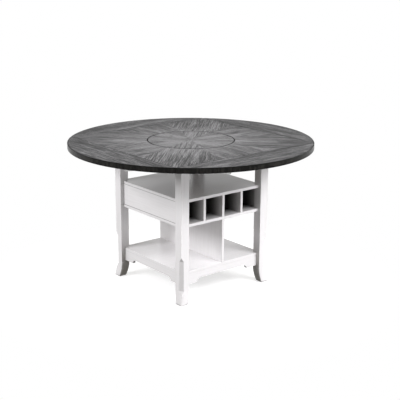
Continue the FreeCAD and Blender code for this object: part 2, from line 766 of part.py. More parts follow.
leg_body = body("leg_body")
pad(leg_body, "XZ", FOOT_OUTER, INNER_LINE, lambda sketch: outline(sketch, [
    (OUTER_LINE, UNDERSIDE),
    (INNER_LINE, UNDERSIDE),
    (INNER_LINE, "foot_height", INNER_CURVE),
    (FOOT_INNER, LEG_FOOT),
    (FOOT_OUTER, LEG_FOOT, OUTER_CURVE),
    (OUTER_LINE, "foot_height")]))
# The same foot curve across the other pair of faces: what lies outside it comes off.
pocket(leg_body, "YZ", FOOT_OUTER, INNER_LINE, lambda sketch: outline(sketch, [
    (OUTER_LINE, "foot_height"),
    (OUTER_LINE, UNDERSIDE),
    (FOOT_OUTER, UNDERSIDE),
    (FOOT_OUTER, LEG_FOOT, OUTER_CURVE)]))
pocket(leg_body, "YZ", FOOT_OUTER, INNER_LINE, lambda sketch: outline(sketch, [
    (INNER_LINE, "foot_height", INNER_CURVE),
    (FOOT_INNER, LEG_FOOT),
    (INNER_LINE, LEG_FOOT)]))

# Stopped chamfer down the outer corner: a cut across the diagonal that runs out to a point at
# each end. The sketch stands in the diagonal plane, with its x axis pointing at the table's middle.
chamfer_sketch = sketch_on(leg_body, "XZ", "0")
chamfer_sketch.AttachmentOffset = FreeCAD.Placement(Vector(0, 0, 0), FreeCAD.Rotation(ALONG_Y, 45))
corner_line = f"(-{BASE_HALF} * sqrt(2))"
facet_line = f"({corner_line} + leg_chamfer / sqrt(2))"
flare_at_stop = f"({OUTER_RADIUS} - sqrt({OUTER_RADIUS}^2 - (foot_height - chamfer_foot)^2))"
stop_corner = f"(({OUTER_LINE} - {flare_at_stop}) * sqrt(2))"
outside = f"({FOOT_OUTER} * sqrt(2) - leg_chamfer)"
outline(chamfer_sketch, [
    (outside, "chamfer_foot"),
    (stop_corner, "chamfer_foot"),
    (facet_line, "chamfer_foot + chamfer_foot_run"),
    (facet_line, "chamfer_top - chamfer_top_run"),
    (corner_line, "chamfer_top"),
    (outside, "chamfer_top")])
volume_before = leg_body.Shape.Volume
leg_chamfer = leg_body.newObject("PartDesign::Pocket", "leg_chamfer")
leg_chamfer.Profile = chamfer_sketch
leg_chamfer.SideType = "Symmetric"
leg_chamfer.setExpression("Length", named("4 * leg_chamfer"))
doc.recompute()
if not leg_body.Shape.Volume < volume_before:
    raise RuntimeError("the stopped chamfer cuts nothing")

FOOT_CENTRE = f"(({FOOT_OUTER} + {FOOT_INNER}) / 2)"
glide_disc = rod("glide_disc", (FOOT_CENTRE, FOOT_CENTRE, "0"), UP, "glide_thickness", "glide_diameter")
glide_nail = rod("glide_nail", (FOOT_CENTRE, FOOT_CENTRE, "0"), UP,
                 "glide_thickness + glide_nail_length", "glide_nail_diameter")
glide_hole = rod("glide_hole", (FOOT_CENTRE, FOOT_CENTRE, "0"), UP,
                 "glide_thickness + glide_nail_length + hole_spare_depth",
                 "glide_nail_diameter + 2 * fixing_clearance")
keep(all_round("foot_glides", [fuse("glide", [glide_disc, glide_nail])]), "foot_glides")

leg_holes = group("leg_holes", [
    all_round("leg_dowel_holes", [front_dowel_holes]), leg_bolt_hole, glide_hole])
keep_turned(cut("leg", leg_body, leg_holes), "leg", FROM_FRONT_LEFT)


# ---------------------------------------------------------------- top rails and corner blocks

rail_body = panel("rail_body", (f"-{LEG_INNER}", LEG_INNER), (f"-{RAIL_FACE}", f"-{RAIL_INNER}"),
                  (f"{UNDERSIDE} - rail_height", UNDERSIDE))
keep_turned(cut("rail", rail_body, front_dowel_holes), "top_rail", FROM_FRONT)

corner_body = body("corner_body")
block_end = f"-({RAIL_INNER} - block_reach)"
pad(corner_body, "XY", block_underside, CARRIER_UNDERSIDE, lambda sketch: outline(sketch, [
    (block_end, f"-{RAIL_INNER}"),
    (f"-{RAIL_INNER}", block_end),
    (f"-{RAIL_INNER}", f"-{LEG_INNER}"),
    (f"-{LEG_INNER}", f"-{LEG_INNER}"),
    (f"-{LEG_INNER}", f"-{RAIL_INNER}")]))
corner_holes = group("corner_holes", [leg_bolt_hole, top_bolt_hole])
keep(all_round("corner_blocks", [cut("corner_block", corner_body, corner_holes)]), "corner_blocks")
keep(all_round("frame_bolts", [leg_bolt, top_bolt]), "frame_bolts")


# ---------------------------------------------------------------- bottle box

def notched_board(name, low, high, face):
    """A square board notched round the four legs, with its outer edges eased."""
    owner = body(name)
    pad(owner, "XY", low, high, lambda sketch: outline(sketch, notched_corners(face, LEG_INNER)))
    ease(owner, "board_ease", lambda box: not upright(box) and on_faces(box, value(face)))
    keep(owner, name)


notched_board("box_top_board", CELL_CEILING, "box_top", BOX_FACE)
notched_board("box_bottom_board", BOX_UNDERSIDE, CELL_FLOOR, BOX_FACE)

CELL = (CELL_FLOOR, CELL_CEILING)
PANEL_INNER = f"({PANEL_FACE} - board_thickness)"
BOARD_HALF = "(board_thickness / 2)"
between_legs = (f"-{LEG_INNER}", LEG_INNER)
keep(panel("box_side_left", (f"-{PANEL_FACE}", f"-{PANEL_INNER}"), between_legs, CELL), "box_side_left")
keep(panel("box_side_right", (PANEL_INNER, PANEL_FACE), between_legs, CELL), "box_side_right")
keep(panel("box_back_panel", (f"-{PANEL_INNER}", PANEL_INNER), (f"-{BOARD_HALF}", BOARD_HALF), CELL),
     "box_back_panel")

dividers = []
for place in (-1, 0, 1):
    middle = f"{place} * {DIVIDER_PITCH}"
    thickness = (f"{middle} - {BOARD_HALF}", f"{middle} + {BOARD_HALF}")
    for depth in ((f"-{BOX_FACE}", f"-{BOARD_HALF}"), (BOARD_HALF, BOX_FACE)):
        divider = panel("bottle_divider", thickness, depth, CELL)
        ease(divider, "board_ease", lambda box: upright(box) and same(abs(box.YMin), value(BOX_FACE)))
        dividers.append(divider)
keep(group("bottle_dividers", dividers), "bottle_dividers")


# ---------------------------------------------------------------- shelf, aprons and lower divider

notched_board("shelf_board", SHELF_UNDERSIDE, "shelf_top", SHELF_FACE)

shelf_divider = panel("shelf_divider", (f"-{BOARD_HALF}", BOARD_HALF), (f"-{BOX_FACE}", BOX_FACE),
                      ("shelf_top", BOX_UNDERSIDE))
ease(shelf_divider, "board_ease", lambda box: upright(box) and same(abs(box.YMin), value(BOX_FACE)))
keep(shelf_divider, "shelf_divider")

FOOT_END = f"({LEG_INNER} - apron_foot_length)"
COVE_END = f"({LEG_INNER} - apron_foot_length - apron_cove_run)"
STEP_TOP = "(apron_foot + apron_step)"
COVE_DROP = "(apron_arch - apron_foot - apron_step)"
COVE_RADIUS = f"((apron_cove_run^2 + {COVE_DROP}^2) / (2 * {COVE_DROP}))"
COVE_CENTRE = f"(apron_arch - {COVE_RADIUS})"
apron_body = body("apron_body")
pad(apron_body, "XZ", f"-{SHELF_FACE}", f"-({SHELF_FACE} - apron_thickness)",
    lambda sketch: outline(sketch, [
        (f"-{LEG_INNER}", "apron_foot"),
        (f"-{FOOT_END}", "apron_foot"),
        (f"-{FOOT_END}", STEP_TOP, (f"-{COVE_END}", COVE_CENTRE, "x", "right")),
        (f"-{COVE_END}", "apron_arch"),
        (COVE_END, "apron_arch", (COVE_END, COVE_CENTRE, "x", "right")),
        (FOOT_END, STEP_TOP),
        (FOOT_END, "apron_foot"),
        (LEG_INNER, "apron_foot"),
        (LEG_INNER, SHELF_UNDERSIDE),
        (f"-{LEG_INNER}", SHELF_UNDERSIDE)]))
keep_turned(cut("apron", apron_body, front_dowel_holes), "shelf_apron", FROM_FRONT)


# ---------------------------------------------------------------- check and write

doc.recompute()
for thing in doc.Objects:
    if "Invalid" in thing.State or "Error" in thing.State:
        raise RuntimeError(f"{thing.Label} could not be built: {thing.State}")
for part in kept:
    if part.Shape.isNull() or not part.Shape.isValid():
        raise RuntimeError(f"{part.Label} has no valid shape")
os.makedirs("parts", exist_ok=True)
for part in kept:
    part.Shape.exportStep(f"parts/{part.Label}.step")
print(f"{len(kept)} sub-parts written")
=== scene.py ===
"""Counter-height dining table with a lazy susan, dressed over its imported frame.

Metres. The origin is on the floor under the middle of the table, +Z is up, the bottle cubbies
open to -Y and +Y, and the closed side panels face -X and +X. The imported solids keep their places.
Each gets a finish, the painted ones get eased edges, and the screws are rebuilt with driven heads.
"""
from __future__ import annotations

import logging
import math
from dataclasses import dataclass, field
from enum import Enum
from typing import Mapping, Sequence

import bmesh
import bpy
from mathutils import Matrix, Vector


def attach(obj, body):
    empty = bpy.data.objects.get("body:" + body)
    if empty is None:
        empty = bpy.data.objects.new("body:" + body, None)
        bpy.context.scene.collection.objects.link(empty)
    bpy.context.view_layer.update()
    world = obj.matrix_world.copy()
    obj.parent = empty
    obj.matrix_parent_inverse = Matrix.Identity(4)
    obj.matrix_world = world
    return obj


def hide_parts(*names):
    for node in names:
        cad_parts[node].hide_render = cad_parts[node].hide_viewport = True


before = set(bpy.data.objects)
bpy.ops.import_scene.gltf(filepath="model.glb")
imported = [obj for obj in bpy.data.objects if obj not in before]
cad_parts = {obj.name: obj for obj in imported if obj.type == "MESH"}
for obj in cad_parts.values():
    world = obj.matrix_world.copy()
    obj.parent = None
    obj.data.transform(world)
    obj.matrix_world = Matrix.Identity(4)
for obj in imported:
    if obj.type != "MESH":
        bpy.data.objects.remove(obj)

log = logging.getLogger("table")

Colour = tuple[float, float, float]
Triple = tuple[float, float, float]
Range = tuple[float, float]
WHITE: Colour = (1.0, 1.0, 1.0)
SIDES = ("right", "back", "left", "front")
CORNERS = ("front_left", "front_right", "back_right", "back_left")
TOP_WIDTH = 1.524
SEAM = TOP_WIDTH / math.sqrt(8.0)


# ---- shader maths

@dataclass(frozen=True)
class Signal:
    """A number that varies over a surface, with Python's operators for its Math nodes.

    Attributes:
        graph: The graph that the socket's node belongs to.
        socket: The output socket that carries the number.
    """

    graph: Graph
    socket: bpy.types.NodeSocket

    def math(self, operation: str, *others: Signal | float) -> Signal:
        """Feed this signal into a Math node.

        Args:
            operation: The Math node's operation.
            others: What goes into its further inputs.

        Returns:
            The node's result.
        """
        return self.graph.math(operation, self, *others)

    def __add__(self, other: Signal | float) -> Signal:
        """Sum."""
        return self.math("ADD", other)

    __radd__ = __add__

    def __sub__(self, other: Signal | float) -> Signal:
        """Difference."""
        return self.math("SUBTRACT", other)

    def __rsub__(self, other: float) -> Signal:
        """Difference from a number."""
        return self.graph.math("SUBTRACT", other, self)

    def __mul__(self, other: Signal | float) -> Signal:
        """Product."""
        return self.math("MULTIPLY", other)

    __rmul__ = __mul__

    def __truediv__(self, other: Signal | float) -> Signal:
        """Quotient."""
        return self.math("DIVIDE", other)

    def __pow__(self, other: float) -> Signal:
        """Power."""
        return self.math("POWER", other)

    def __abs__(self) -> Signal:
        """Size without its sign."""
        return self.math("ABSOLUTE")

    def rise(self, low: float, high: float) -> Signal:
        """Smooth step from 0 at one value to 1 at another.

        Args:
            low: Value at which the step is 0. It may be the larger one.
            high: Value at which the step is 1.

        Returns:
            The step, between 0 and 1.
        """
        node = self.graph.add("ShaderNodeMapRange", {"interpolation_type": "SMOOTHSTEP"},
                              {"Value": self, "From Min": low, "From Max": high})
        return Signal(self.graph, node.outputs["Result"])


Place = tuple[Signal, Signal, Signal]


class Graph:
    """The node tree of one material or world, built one call at a time."""

    def __init__(self, tree: bpy.types.NodeTree) -> None:
        """Start on an emptied tree.

        Args:
            tree: The node tree to fill.
        """
        self.tree = tree
        tree.nodes.clear()

    def add(self, kind: str, settings: Mapping[str, object] | None = None,
            inputs: Mapping[str | int, object] | None = None) -> bpy.types.Node:
        """Add a node.

        Args:
            kind: The node's type.
            settings: Its own settings. A ramp takes a list of (place, colour) as its "stops".
            inputs: What goes into its sockets, by name or number: values, sockets or signals.

        Returns:
            The new node.
        """
        node = self.tree.nodes.new(kind)
        for name, setting in (settings or {}).items():
            if name == "stops":
                ramp = node.color_ramp
                while len(ramp.elements) < len(setting):
                    ramp.elements.new(1.0)
                for element, (place, colour) in zip(ramp.elements, setting):
                    element.position = place
                    element.color = (*colour, 1.0)
            else:
                setattr(node, name, setting)
        for name, given in (inputs or {}).items():
            if isinstance(given, Signal):
                self.tree.links.new(given.socket, node.inputs[name])
            elif isinstance(given, bpy.types.NodeSocket):
                self.tree.links.new(given, node.inputs[name])
            else:
                node.inputs[name].default_value = given
        return node

    def math(self, operation: str, *terms: Signal | float) -> Signal:
        """Add a Math node.

        Args:
            operation: The node's operation.
            terms: What goes into its inputs, in order.

        Returns:
            Its result.
        """
        node = self.add("ShaderNodeMath", {"operation": operation}, dict(enumerate(terms)))
        return Signal(self, node.outputs[0])

    def coordinates(self, output: str) -> Place:
        """Split an output of the piece's own coordinates, which move with it.

        Args:
            output: The output's name.

        Returns:
            Its x, y and z.
        """
        node = self.add("ShaderNodeTexCoord")
        split = self.add("ShaderNodeSeparateXYZ", inputs={0: node.outputs[output]})
        return tuple(Signal(self, part) for part in split.outputs)

    def place(self) -> Place:
        """The point's own x, y and z on its piece, in metres."""
        return self.coordinates("Object")

    def facing(self) -> Place:
        """The x, y and z of the direction that the surface faces, on its own piece."""
        return self.coordinates("Normal")

    def mix(self, factor: Signal, first: Colour | bpy.types.NodeSocket,
            second: Colour | bpy.types.NodeSocket) -> bpy.types.NodeSocket:
        """Mix two colours.

        Args:
            factor: 0 for the first colour, 1 for the second.
            first: Colour or socket.
            second: Colour or socket.

        Returns:
            The mixed colour's socket.
        """
        colours = [(*colour, 1.0) if isinstance(colour, tuple) else colour
                   for colour in (first, second)]
        node = self.add("ShaderNodeMix", {"data_type": "RGBA"},
                        {0: factor, 6: colours[0], 7: colours[1]})
        return node.outputs[2]

    def ramp(self, value: Signal, stops: Sequence[tuple[float, Colour]]) -> bpy.types.NodeSocket:
        """Turn a number into a colour by a row of stops."""
        node = self.add("ShaderNodeValToRGB", {"stops": stops}, {0: value})
        return node.outputs[0]

    def bump(self, height: Signal, distance: float, strength: float) -> bpy.types.NodeSocket:
        """Small relief from a height between 0 and 1.

        Args:
            height: The height signal.
            distance: Height of the relief, in metres.
            strength: Share of the relief that shows.

        Returns:
            The bent normal's socket.
        """
        node = self.add("ShaderNodeBump", inputs={
            "Strength": strength, "Distance": distance, "Height": height})
        return node.outputs["Normal"]

    def edges(self, reach: float) -> Signal:
        """A mask of the piece's sharp edges and corners.

        Args:
            reach: Distance from an edge at which the mask ends, in metres.

        Returns:
            About 0 on the flats, growing towards an edge.
        """
        rounded = self.add("ShaderNodeBevel", {"samples": 4}, {"Radius": reach})
        geometry = self.add("ShaderNodeNewGeometry")
        dot = self.add("ShaderNodeVectorMath", {"operation": "DOT_PRODUCT"},
                       {0: rounded.outputs[0], 1: geometry.outputs["Normal"]})
        bend = 1.0 - Signal(self, dot.outputs["Value"])
        return bend.rise(0.01, 0.22)

    def seen(self) -> Signal:
        """Tell the rays that show the studio itself.

        Returns:
            1 for a straight, mirrored or refracted view of it, 0 for a ray that lights the table.
        """
        rays = self.add("ShaderNodeLightPath")
        mask = Signal(self, rays.outputs["Is Camera Ray"])
        for kind in ("Is Glossy Ray", "Is Transmission Ray"):
            mask = mask.math("MAXIMUM", Signal(self, rays.outputs[kind]))
        return mask

    def surface(self, inputs: Mapping[str, object]) -> bpy.types.NodeSocket:
        """Add the main shader with these inputs and give its output."""
        return self.add("ShaderNodeBsdfPrincipled", inputs=inputs).outputs[0]

    def finish(self, shader: bpy.types.NodeSocket) -> None:
        """Connect the finished shader to the material's output."""
        self.add("ShaderNodeOutputMaterial", inputs={"Surface": shader})


# ---- finishes

class Lay(Enum):
    """How veneer is laid on a piece of the top."""

    SUNBURST = "wedges whose grain points at the middle"
    STAR = "wedges with light rays on the two axes"
    ALONG_X = "grain along the front and back seams"
    ALONG_Y = "grain along the side seams"


class Run(Enum):
    """The axis that the grain of a straight piece runs along."""

    X = 0
    Y = 1
    Z = 2


@dataclass(frozen=True)
class Pattern:
    """Smooth noise that is laid over a piece and stretched along its axes.

    Attributes:
        scales: Features per metre along x, y and z, or along, across and down the grain.
        detail: Number of finer layers.
        roughness: Weight of the finer layers.
        bend: How far the pattern is bent.
        out: Values between which a mark comes out of it.
        share: What it counts for beside other patterns.
        shift: Step in the pattern from one wedge of veneer to the next.
        start: Where in the pattern the first wedge lies.
    """

    scales: Triple
    detail: float = 2.0
    roughness: float = 0.5
    bend: float = 0.0
    out: Range = (0.0, 1.0)
    share: float = 1.0
    shift: float = 0.0
    start: float = 0.0

    def over(self, graph: Graph, place: Place, wedge: Signal | float = 0.0) -> Signal:
        """Lay the pattern over a piece.

        Args:
            graph: The material's graph.
            place: The point's three coordinates.
            wedge: Number of the veneer's wedge.

        Returns:
            Values round 0.5, from 0 to 1.
        """
        x, y, z = [part * scale if scale else 0.0 for part, scale in zip(place, self.scales)]
        offset = wedge * self.shift + self.start
        point = graph.add("ShaderNodeCombineXYZ",
                          inputs={0: x, 1: y, 2: offset + z if offset else z})
        node = graph.add("ShaderNodeTexNoise", {"noise_dimensions": "3D"}, {
            "Vector": point.outputs[0], "Scale": 1.0, "Detail": self.detail,
            "Roughness": self.roughness, "Distortion": self.bend})
        return Signal(graph, node.outputs["Fac"])


class Finish:
    """What all finishes share."""

    def material(self, name: str, *lie: Lay | Run) -> bpy.types.Material:
        """Make the finish's material.

        Args:
            name: The material's name.
            lie: How the wood lies, for a finish that asks for it.

        Returns:
            The material.
        """
        material = bpy.data.materials.new(name)
        material.use_nodes = True
        self.build(Graph(material.node_tree), *lie)
        return material

    def build(self, graph: Graph, *lie: Lay | Run) -> None:
        """Build the nodes of one kind of finish."""
        raise NotImplementedError


@dataclass(frozen=True)
class BrushedVeneer(Finish):
    """Wire-brushed veneer with a charcoal stain and a satin lacquer.

    Attributes:
        dark: Colour in the brushed-out grain.
        middle: Colour of the ground.
        light: Colour of the raised grain.
        shades: Shades of these three colours.
        rim: Colour of the solid edge.
        rim_light: Colour of its rubbed places.
        under: Colour of the underside.
        figure: Wide bands.
        broad: Brushed lines.
        stripe: Finer lines between them.
        ticks: Short dark ticks.
        pores: Open pores.
        painted_sheen_radii: Radii between which a painted sheen makes the top lighter.
        painted_sheen: How much lighter that painted sheen makes it.
        painted_sheen_mean: Share of the painted sheen at which the colour stays as it is.
        wedges: Number of wedges in a sunburst.
        star_wedge: Number of the disc's first wedge.
        lacquer: Roughness of the lacquer.
        unevenness: Roughness that follows the brushed lines.
        matt_pores: Roughness that the pores add.
        mirror: Specular level.
        coat: Weight, roughness and index of refraction of the edge's satin coat.
        relief: Depth of the brushing, in metres.
        brushing: Share of it that shows.
        level: Upright shares of a direction between which edge turns into face.
        underside: Height below which the underside begins.
        arris: Height above which the solid edge is darkest.
        ring: Middle radius of the gap round the turning disc.
        ring_line: Distances between which its line fades in.
        seam_line: Distances between which a seam's line fades in.
        seam_share: Darkness of that line.
        border: Radii between which the border darkens.
        border_share: Darkness of the border.
        ray: Distances from an axis between which a light ray fades in.
        ray_start: Radii at its inner end.
        ray_end: Radii at its outer end, the outer one first.
        ray_gain: Lightness of the rays.
        quarter_gain: Darkness of the quarters between them.
        hub: Radii between which the hub darkens.
        hub_gain: Darkness of the hub.
    """

    dark: Colour = (0.022, 0.022, 0.0225)
    middle: Colour = (0.090, 0.090, 0.0925)
    light: Colour = (0.275, 0.275, 0.283)
    shades: Triple = (0.05, 0.46, 1.0)
    rim: Colour = (0.0025, 0.0024, 0.0021)
    rim_light: Colour = (0.012, 0.0115, 0.010)
    under: Colour = (0.022, 0.021, 0.020)
    figure: Pattern = Pattern((1.6, 13.0, 0.0), 2.0, 0.5, 0.3, share=1.2, shift=5.3)
    broad: Pattern = Pattern((3.0, 150.0, 3.0), 3.0, 0.72, 0.08, share=3.6, shift=5.3)
    stripe: Pattern = Pattern((8.0, 330.0, 30.0), 2.0, 0.7, 0.1, share=4.2, shift=9.1)
    ticks: Pattern = Pattern((9.0, 105.0, 0.0), 2.0, 0.7, 0.1, (0.58, 0.70), 0.75, 2.9, 7.0)
    pores: Pattern = Pattern((30.0, 900.0, 90.0), 1.0, out=(0.54, 0.70), share=0.5, shift=3.7)
    painted_sheen_radii: Range = (0.70, 0.12)
    painted_sheen: float = 0.66
    painted_sheen_mean: float = 0.36
    wedges: int = 8
    star_wedge: float = 20.0
    lacquer: float = 0.44
    unevenness: float = 0.5
    matt_pores: float = 0.12
    mirror: float = 0.05
    coat: Triple = (0.5, 0.2, 1.22)
    relief: float = 0.0006
    brushing: float = 0.6
    level: Range = (0.55, 0.92)
    underside: float = 0.8835
    arris: float = 0.9105
    ring: float = 0.27025
    ring_line: Range = (0.0050, 0.0030)
    seam_line: Range = (0.0030, 0.0012)
    seam_share: float = 0.75
    border: Range = (0.750, 0.7595)
    border_share: float = 0.8
    ray: Range = (0.030, 0.004)
    ray_start: Range = (0.03, 0.08)
    ray_end: Range = (0.262, 0.12)
    ray_gain: float = 0.42
    quarter_gain: float = 0.16
    hub: Range = (0.07, 0.02)
    hub_gain: float = 0.12

    def build(self, graph: Graph, lay: Lay) -> None:
        """Build the finish's nodes.

        Args:
            graph: The material's graph.
            lay: How the veneer is laid.
        """
        x, y, z = graph.place()
        radius = (x * x + y * y).math("SQRT")
        along, across, wedge = self.lines(x, y, lay)
        figure, broad, stripe, ticks, pores = [
            layer.over(graph, (along, across, z), wedge)
            for layer in (self.figure, self.broad, self.stripe, self.ticks, self.pores)]
        ticks = ticks.rise(*self.ticks.out)
        pores = pores.rise(*self.pores.out)
        tone = ((figure - 0.5) * self.figure.share + (broad - 0.5) * self.broad.share
                + (stripe - 0.5) * self.stripe.share + 0.5)
        # Painted sheen: the top's colour is lighter towards its middle, in place of a reflection
        # there.
        painted_sheen = (radius.rise(*self.painted_sheen_radii) - self.painted_sheen_mean) * self.painted_sheen
        shade = tone + painted_sheen + self.accent((x, y, radius), lay)
        colour = graph.ramp(shade, list(zip(self.shades, (self.dark, self.middle, self.light))))
        marks = (ticks * self.ticks.share).math("MAXIMUM", pores * self.pores.share)
        colour = graph.mix(marks, colour, self.dark)
        colour = graph.mix(self.joints((x, y, radius)), colour, self.rim)
        rubbed = tone.rise(0.1, 0.9) * z.rise(self.arris, self.arris - 0.002)
        level = abs(graph.facing()[2]).rise(*self.level)
        colour = graph.mix(level, graph.mix(rubbed, self.rim, self.rim_light), colour)
        colour = graph.mix(z.rise(self.underside, self.underside - 0.001), colour, self.under)
        roughness = self.lacquer + (broad - 0.5) * self.unevenness + pores * self.matt_pores
        height = broad * 0.5 + stripe * 0.3 + (1.0 - pores) * 0.2
        coat_weight, coat_roughness, coat_index = self.coat
        graph.finish(graph.surface({
            "Base Color": colour, "Roughness": roughness,
            "Normal": graph.bump(height, self.relief, self.brushing),
            "Specular IOR Level": self.mirror, "Coat Weight": (1.0 - level) * coat_weight,
            "Coat Roughness": coat_roughness, "Coat IOR": coat_index}))

    def joints(self, spot: Place) -> Signal:
        """Dark lines beside the leaves' seams, round the turning disc and along the rim.

        Args:
            spot: Places along X and Y, and the distance from the middle.

        Returns:
            0 away from them, up to 1 on them.
        """
        x, y, radius = spot
        widest = abs(x).math("MAXIMUM", abs(y))
        seams = abs(widest - SEAM).rise(*self.seam_line) * self.seam_share
        border = radius.rise(*self.border) * self.border_share
        gap = abs(radius - self.ring).rise(*self.ring_line)
        return seams.math("MAXIMUM", border).math("MAXIMUM", gap)

    def lines(self, x: Signal, y: Signal, lay: Lay) -> tuple[Signal, Signal, Signal | float]:
        """Coordinates along and across the grain.

        Args:
            x: Place along X.
            y: Place along Y.
            lay: How the veneer is laid.

        Returns:
            Place along the grain, place across it, and the number of the wedge.
        """
        if lay is Lay.ALONG_X:
            return x, y, 0.0
        if lay is Lay.ALONG_Y:
            return y, x, 1.0
        step = 2.0 * math.pi / self.wedges
        wedge = (y.math("ARCTAN2", x) / step + 0.5).math("FLOOR")
        cosine, sine = [(wedge * step).math(operation) for operation in ("COSINE", "SINE")]
        along = x * cosine + y * sine
        across = y * cosine - x * sine
        return along, across, wedge + self.star_wedge if lay is Lay.STAR else wedge

    def accent(self, spot: Place, lay: Lay) -> Signal | float:
        """Light rays along the axes of the turning disc, with darker quarters between them.

        Args:
            spot: Places along X and Y, and the distance from the middle.
            lay: How the veneer is laid.

        Returns:
            What is added to the shade.
        """
        if lay is not Lay.STAR:
            return 0.0
        x, y, radius = spot
        nearest = abs(x).math("MINIMUM", abs(y))
        ray = (nearest.rise(*self.ray) * radius.rise(*self.ray_start)
               * radius.rise(*self.ray_end))
        quarter_tone = abs(x * y) * 2.0 / (radius * radius + 0.001)
        return (ray * self.ray_gain - quarter_tone * self.quarter_gain
                - radius.rise(*self.hub) * self.hub_gain)


@dataclass(frozen=True)
class CreamPaint(Finish):
    """Antique white paint over wood, rubbed along its edges, dark in its joints, with painted
    shade.

    Attributes:
        white: Main colour.
        shade: Colour of the faint streaks.
        rubbed: Colour of the worn edges.
        shade_and_joint_colour: Colour of the painted shade in cubbies and on chamfers, and of the
            joint lines.
        foot_shade_colour: Colour of the painted shade on the inner faces of the feet.
        sheen: Roughness of the paint.
        lines: Features of the grain per metre across it.
        length: Features of the grain per metre along it.
        finer: How many times finer the second grain is.
        clouds: Soft patches.
        patches: Worn places.
        streaks: Values between which the streaks come out.
        streak_share: Strength of the streaks.
        wear_reach: Width of the worn edges, in metres.
        relief: Depth of the grain, in metres.
        grain_share: Share of it that shows.
        cubbies: Lowest and highest point of the cubbies.
        mouth: Distance of their mouths from the middle.
        darkening: Distances behind the mouth between which the painted shade deepens.
        shade_curve: Power of that change.
        cubby_side: Distances at the cubbies' side, the outer one first.
        joint: Half width of the dark line between board and side panel.
        joint_share: Darkness of that line.
        panel_face: Distances at the side panels' outer faces.
        panel_end: Distances at their ends, the outer one first.
        recess_share: Darkness of the painted shade in the cubbies and of the joint lines.
        slant: Values between which a face counts as a chamfer.
        chamfer_share: Strength of the painted shade on it.
        inward: Values between which it counts as an inner face.
        leg_line: Distances at the legs' inner faces.
        feet: Heights between which the painted shade on the feet deepens.
        foot_share: Strength of that painted shade at the floor.
    """

    white: Colour = (0.80, 0.79, 0.80)
    shade: Colour = (0.68, 0.668, 0.665)
    rubbed: Colour = (0.47, 0.43, 0.385)
    shade_and_joint_colour: Colour = (0.017, 0.0165, 0.014)
    foot_shade_colour: Colour = (0.080, 0.060, 0.030)
    sheen: float = 0.24
    lines: float = 130.0
    length: float = 4.0
    finer: float = 4.0
    clouds: Pattern = Pattern((7.0, 7.0, 7.0))
    patches: Pattern = Pattern((38.0, 38.0, 38.0), out=(0.42, 0.62), share=0.5)
    streaks: Range = (-0.25, 0.5)
    streak_share: float = 0.65
    wear_reach: float = 0.0022
    relief: float = 0.00010
    grain_share: float = 0.35
    cubbies: Range = (0.490, 0.624)
    mouth: float = 0.318
    darkening: Range = (0.003, 0.13)
    shade_curve: float = 0.6
    cubby_side: Range = (0.3005, 0.2995)
    joint: float = 0.0019
    joint_share: float = 0.7
    panel_face: Range = (0.3145, 0.3155)
    panel_end: Range = (0.285, 0.283)
    recess_share: float = 0.95
    slant: Range = (0.18, 0.34)
    chamfer_share: float = 0.24
    inward: Range = (-0.12, -0.26)
    leg_line: Range = (0.2825, 0.2838)
    feet: Range = (0.34, 0.0)
    foot_share: float = 0.86

    def build(self, graph: Graph, run: Run) -> None:
        """Build the finish's nodes.

        Args:
            graph: The material's graph.
            run: The axis that the grain runs along.
        """
        place, facing = graph.place(), graph.facing()
        scales = [self.length if axis is run else self.lines for axis in Run]
        grain = Pattern(tuple(scales), 3.0, 0.55, 0.3).over(graph, place)
        fine = Pattern(tuple(self.finer * scale for scale in scales), 1.0).over(graph, place)
        cloud = self.clouds.over(graph, place)
        streak = (grain - 0.5) * 0.75 + (fine - 0.5) * 0.4 + (cloud - 0.5) * 0.3
        colour = graph.mix(streak.rise(*self.streaks) * self.streak_share, self.white, self.shade)
        worn = self.patches.over(graph, place).rise(*self.patches.out)
        wear = graph.edges(self.wear_reach) * worn
        colour = graph.mix(wear * self.patches.share, colour, self.rubbed)
        # Painted shade: the inner faces of the legs darken towards the floor.
        colour = graph.mix(self.foot(place, facing), colour, self.foot_shade_colour)
        # Painted shade: faces that look diagonally, the chamfers and eased corners of the legs, are
        # darkened.
        chamfer = abs(facing[0] * facing[1]).rise(*self.slant) * self.chamfer_share
        # Painted shade deep in the cubbies, with the dark joint lines, joins the chamfers' painted
        # shade.
        darkening = (self.recess(place) * self.recess_share).math("MAXIMUM", chamfer)
        colour = graph.mix(darkening, colour, self.shade_and_joint_colour)
        height = grain * 0.6 + fine * 0.4
        graph.finish(graph.surface({
            "Base Color": colour, "Roughness": self.sheen + (cloud - 0.5) * 0.08 + wear * 0.2,
            "Normal": graph.bump(height, self.relief, self.grain_share)}))

    def foot(self, place: Place, facing: Place) -> Signal:
        """Where shade is painted onto the inner faces of the legs.

        Args:
            place: The point's x, y and z.
            facing: The x, y and z of the direction that the surface faces.

        Returns:
            0 but for the inner faces of the legs, where it grows towards the floor.
        """
        x, y, z = place
        inward = (x * facing[0] + y * facing[1]).rise(*self.inward)
        corner = abs(x).math("MINIMUM", abs(y)).rise(*self.leg_line)
        return inward * corner * z.rise(*self.feet) * self.foot_share

    def recess(self, place: Place) -> Signal:
        """Where the cubbies get painted shade and the side panels' joints get dark lines.

        Args:
            place: The point's x, y and z.

        Returns:
            0 on open faces, growing into the cubbies and in the joints of the side panels.
        """
        x, y, z = place
        low, high = self.cubbies
        shallow, deep = self.darkening
        between = z.rise(low - 0.001, low - 0.0005) * z.rise(high + 0.001, high + 0.0005)
        # Painted shade: the cubbies darken towards their backs, where little light reaches.
        depth = abs(y).rise(self.mouth - shallow, self.mouth - deep) ** self.shade_curve
        cubby = between * depth * abs(x).rise(*self.cubby_side)
        # Dark lines along the joints between the side panels and their boards.
        gap = abs(z - low).math("MINIMUM", abs(z - high)).rise(self.joint, 0.4 * self.joint)
        line = gap * abs(x).rise(*self.panel_face) * abs(y).rise(*self.panel_end)
        return cubby.math("MAXIMUM", line * self.joint_share)


